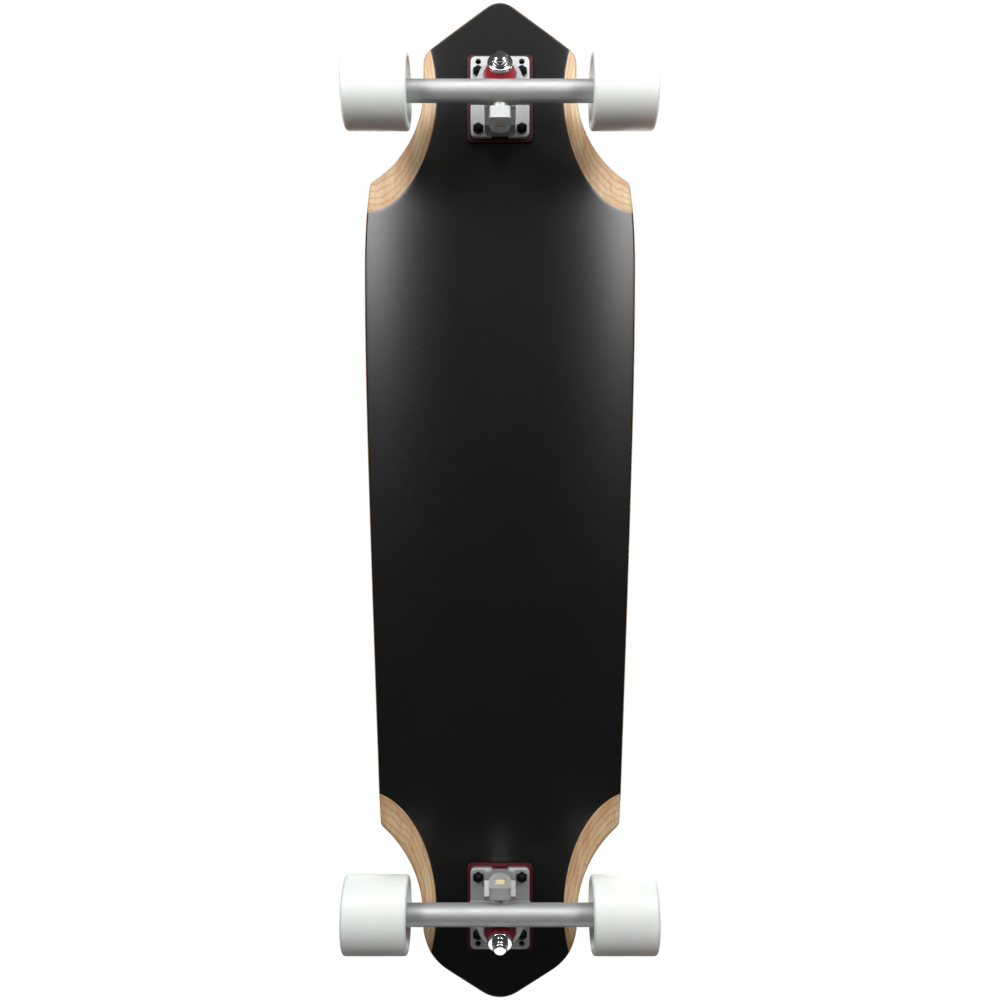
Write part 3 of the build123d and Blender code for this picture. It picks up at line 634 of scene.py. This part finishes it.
def washer_profile(inner):
    """Cupped washer over a bushing's end, its outer edge rolled round."""
    face = RING_HALF + SEAT_GAP + BUSHING
    base, lip = face + WASHER, face - WASHER_LIP
    rim, bore = inner + WASHER_RIM, KINGPIN + BORE_GAP
    rolled = quarter(rim - WASHER_ROUND, base - WASHER_ROUND, WASHER_ROUND, 0)[::-1]
    edge = [(rim, lip + WASHER_BREAK[1]), (rim - WASHER_BREAK[0], lip), (inner, lip)]
    return [(bore, base)] + rolled + edge + [(inner, face), (bore, face)]


def bushing_profile(top):
    """Bushing from the ring's seat out to its washer: rounded ends and slightly bulged sides.

    The bore widens towards the ring as the square of the distance from the washer.
    """
    near, far = RING_HALF + SEAT_GAP, RING_HALF + SEAT_GAP + BUSHING
    foot_round, head_round, bore = BUSHING_FOOT_ROUND, BUSHING_HEAD_ROUND, KINGPIN + BORE_GAP
    foot = quarter(BUSHING_RADIUS - foot_round, near + foot_round, foot_round, -90)
    head = quarter(top - head_round, far - head_round, head_round, 0)
    side = bow(foot[-1], head[0], BUSHING_BULGE)[1:-1]
    shares = np.linspace(1, 0, 8)
    inner = [(bore + BUSHING_FLARE * (1 - t) ** 2, near + (far - near) * t) for t in shares]
    return foot + side + head + inner


for end in ENDS:
    outward = -1 if end == "front" else 1
    hub = np.array(JOINTS[f"{end}_steer"]["pos_m"])
    down = np.array((0, outward * math.sin(STEERING_ANGLE), -math.cos(STEERING_ANGLE)))
    for side_name, sign, top in (("road", 1, BUSHING_TOP), ("deck", -1, BUSHING_RADIUS)):
        node = f"{end}_{side_name}_side_washer"
        mesh = turned(node, washer_profile(top + WASHER_PLAY), hub, sign * down)
        show(f"{node}_chrome", mesh, "zinc_steel", "board", node)
        node = f"{end}_{side_name}_side_bushing"
        mesh = turned(node, bushing_profile(top), hub, sign * down)
        seat, far = (hub + sign * k * MM * down for k in (RING_HALF, RING_HALF + BUSHING))
        bend = ("board", seat, far)
        show(f"{node}_cast", mesh, "red_urethane", f"{end}_hanger_assembly", node, bend=bend)
    seat = (RING_HALF + SEAT_GAP + BUSHING + WASHER) * MM
    mesh = turned(
        f"{end}_kingpin_nut",
        nut_profile(KINGPIN + BORE_GAP, KINGPIN_FLATS, KINGPIN_NUT, KINGPIN_COLLAR),
        hub + seat * down,
        down,
        flats=KINGPIN_FLATS,
    )
    show(f"{end}_kingpin_nut_domed", mesh, "zinc_steel", "board", f"{end}_kingpin_nut")


def joined(name, parts):
    """One mesh out of several, for a piece made of separate nuts."""
    work = bmesh.new()
    for part in parts:
        work.from_mesh(part)
        bpy.data.meshes.remove(part)
    mesh = bpy.data.meshes.new(name)
    work.to_mesh(mesh)
    work.free()
    soften(mesh)
    return mesh


def tyre_profile():
    """Tyre seen in section: flat tread between two rounded lips, both faces dished to the core."""
    tread = WHEEL_RADIUS - WHEEL_ROUND
    tread_in = quarter(tread, WHEEL_IN + WHEEL_ROUND, WHEEL_ROUND, -90, count=9)
    tread_out = quarter(tread, WHEEL_OUT - WHEEL_ROUND, WHEEL_ROUND, 0, count=9)
    lip_in = quarter(LIP_RADIUS + LIP_ROUND, WHEEL_IN + LIP_ROUND, LIP_ROUND, 180)
    lip_out = quarter(LIP_RADIUS + LIP_ROUND, WHEEL_OUT - LIP_ROUND, LIP_ROUND, 90)
    dish_in = bow((CORE_RADIUS, CORE_IN), lip_in[0], -DISH_IN)[:-1]
    dish_out = bow(lip_out[-1], (CORE_RADIUS, CORE_OUT), -DISH_OUT)[1:]
    return dish_in + lip_in + tread_in + tread_out + lip_out + dish_out


deck_nut = nut_profile(BOLT + BORE_GAP, DECK_NUT_FLATS, DECK_NUT, DECK_NUT_COLLAR)
axle_nut = nut_profile(AXLE + BORE_GAP, AXLE_NUT_FLATS, AXLE_NUT, AXLE_NUT_COLLAR)
for end in ENDS:
    outward = -1 if end == "front" else 1
    middle = TRUCK_AT[end] * MM
    nuts = []
    for x in (-BOLT_GAUGE, BOLT_GAUGE):
        for y in (BOLT_INNER, BOLT_OUTER):
            place = (x * MM, middle + outward * y * MM, underside - PLATE_TOP * MM)
            nuts.append(turned("nut", deck_nut, place, (0, 0, -1), DECK_NUT_FLATS, NUT_POINTS))
    node = f"{end}_deck_nuts"
    show(f"{node}_locking", joined(node, nuts), "black_steel", "board", node)
    axle_middle = np.array(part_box(f"{end}_axle")).mean(axis=0)
    nuts = []
    for side in (-1, 1):
        place = axle_middle + np.array((side * NUT_AT * MM, 0, 0))
        nuts.append(turned("nut", axle_nut, place, (side, 0, 0), AXLE_NUT_FLATS, NUT_POINTS))
    node = f"{end}_axle_nuts"
    show(f"{node}_locking", joined(node, nuts), "zinc_steel", f"{end}_hanger_assembly", node)
    for name in SIDES:
        node = f"{end}_{name}_tyre"
        side = 1 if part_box(node)[0][0] > 0 else -1
        mesh = turned(node, tyre_profile(), axle_middle, (side, 0, 0), count=TYRE_POINTS)
        show(f"{node}_cast", mesh, "white_urethane", f"{end}_{name}_wheel", node)


# ---------------------------------------------------------------- castings and riser pads
CASTING_EDGE, RISER_EDGE = 0.7 * MM, 0.6 * MM
BEVEL_FROM = math.radians(32)  # edges sharper than this are rounded
FLAT_WITHIN = math.radians(0.6)  # triangles this close to one plane become one face
WELD = 0.02 * MM  # the CAD mesh's loose triangles join within this
EDGE_STEPS = 3


def cast_copy(node, look, body, edge):
    """The CAD casting again, as one welded shell whose edges the Bevel modifier rounds."""
    source = NODES[node]
    mesh = source.data.copy()
    mesh.transform(source.matrix_world)
    work = bmesh.new()
    work.from_mesh(mesh)
    bmesh.ops.remove_doubles(work, verts=work.verts, dist=WELD)
    bmesh.ops.dissolve_limit(work, angle_limit=FLAT_WITHIN, verts=work.verts, edges=work.edges)
    work.to_mesh(mesh)
    work.free()
    mesh.materials.clear()
    piece = show(f"{node}_cast", mesh, look, body, node)
    soften(mesh, BEVEL_FROM)
    rounded = piece.modifiers.new("edges", "BEVEL")
    rounded.width, rounded.segments = edge, EDGE_STEPS
    rounded.limit_method, rounded.angle_limit = "ANGLE", BEVEL_FROM
    rounded.harden_normals = True


for end in ENDS:
    cast_copy(f"{end}_baseplate", "cast_aluminium", "board", CASTING_EDGE)
    cast_copy(f"{end}_hanger", "cast_aluminium", f"{end}_hanger_assembly", CASTING_EDGE)
    cast_copy(f"{end}_riser_pad", "riser", "board", RISER_EDGE)

# ---------------------------------------------------------------- camera, floor and light
EYE_DISTANCE = 1.03  # below the deck's underside
HALF_ANGLE = math.atan(0.5 / 1.08)
FLOOR_HALF, FLOOR_SOLID, FLOOR_GONE = 4.0, 0.7, 2.4
AMBIENT = 0.07  # how strongly the white studio lights the board
camera = bpy.data.objects.new("camera", bpy.data.cameras.new("camera"))
bpy.context.scene.collection.objects.link(camera)
camera.location = (0, 0, underside - EYE_DISTANCE)
camera.rotation_euler = (math.pi, 0, 0)
camera.data.angle = 2 * HALF_ANGLE
camera.data.clip_start, camera.data.clip_end = 0.05, 20
bpy.context.scene.camera = camera


def floor():
    """Pale matt floor at height 0 that fades out into the backdrop.

    Its back, which faces down, is clear, so that the board can be seen from below.
    """
    mesh = bpy.data.meshes.new("floor")
    corners = [(x * FLOOR_HALF, y * FLOOR_HALF, 0) for x, y in ((-1, -1), (1, -1), (1, 1), (-1, 1))]
    mesh.from_pydata(corners, [], [(0, 1, 2, 3)])
    made, tree, shader, place = material("pale_floor", Roughness=0.6)
    shader.inputs["Base Color"].default_value = linear("f2f2f0")
    side = put(tree, "ShaderNodeNewGeometry").outputs["Backfacing"]
    reach = put(tree, "ShaderNodeVectorMath", {0: place}, operation="LENGTH").outputs["Value"]
    fade = put(
        tree,
        "ShaderNodeMapRange",
        {"Value": reach, "From Min": FLOOR_SOLID, "From Max": FLOOR_GONE},
        interpolation_type="SMOOTHSTEP",
    ).outputs[0]
    away = put(tree, "ShaderNodeMath", {0: side, 1: fade}, operation="MAXIMUM").outputs[0]
    clear = put(tree, "ShaderNodeBsdfTransparent").outputs[0]
    mix = put(tree, "ShaderNodeMixShader", {0: away, 1: shader.outputs[0], 2: clear})
    tree.links.new(mix.outputs[0], tree.nodes["Material Output"].inputs["Surface"])
    mesh.materials.append(made)
    piece = bpy.data.objects.new("floor", mesh)
    bpy.context.scene.collection.objects.link(piece)
    piece.visible_shadow = piece.visible_diffuse = False
    piece.visible_glossy = piece.visible_transmission = False


def lamp(name, place, aim, size, watts):
    """Soft rectangular lamp at place, turned towards aim."""
    light = bpy.data.lights.new(name, "AREA")
    light.shape, light.size, light.size_y, light.energy = "RECTANGLE", size[0], size[1], watts
    piece = bpy.data.objects.new(name, light)
    piece.location = place
    piece.rotation_mode = "QUATERNION"
    piece.rotation_quaternion = (Vector(aim) - Vector(place)).to_track_quat("-Z", "Y")
    bpy.context.scene.collection.objects.link(piece)


floor()
# The camera sees the studio's backdrop as pure white, and the board is lit by little of it.
sky = bpy.data.worlds.new("studio")
sky.use_nodes = True
backdrop = sky.node_tree.nodes["Background"]
backdrop.inputs["Color"].default_value = (1, 1, 1, 1)
seen = put(sky.node_tree, "ShaderNodeLightPath").outputs["Is Camera Ray"]
glow = put(sky.node_tree, "ShaderNodeMapRange", {"Value": seen, "To Min": AMBIENT, "To Max": 1.0})
sky.node_tree.links.new(glow.outputs[0], backdrop.inputs["Strength"])
bpy.context.scene.world = sky
bpy.context.scene.view_settings.view_transform = "Standard"
# Low lamps on both sides make the rails glow, the long one past the nose draws the bright
# stripe along the bars, and the one past the tail does so faintly from behind. The wide lamp
# above lights the grip and the floor.
lamp("below_left", (-1.0, -0.85, -1.0), (0, -0.3, 0.1), (0.6, 0.5), 18.5)
lamp("below_right", (1.0, -0.85, -1.0), (0, -0.3, 0.1), (0.6, 0.5), 18.5)
lamp("from_nose", (0, -1.65, -1.0), (0, -0.1, 0.05), (1.8, 0.45), 15.5)
lamp("from_tail", (0, 1.7, -0.3), (0, 0.2, 0.05), (0.9, 0.5), 2.4)
lamp("above", (0.5, -0.6, 2.0), (0, 0, 0), (2.4, 2.4), 48)
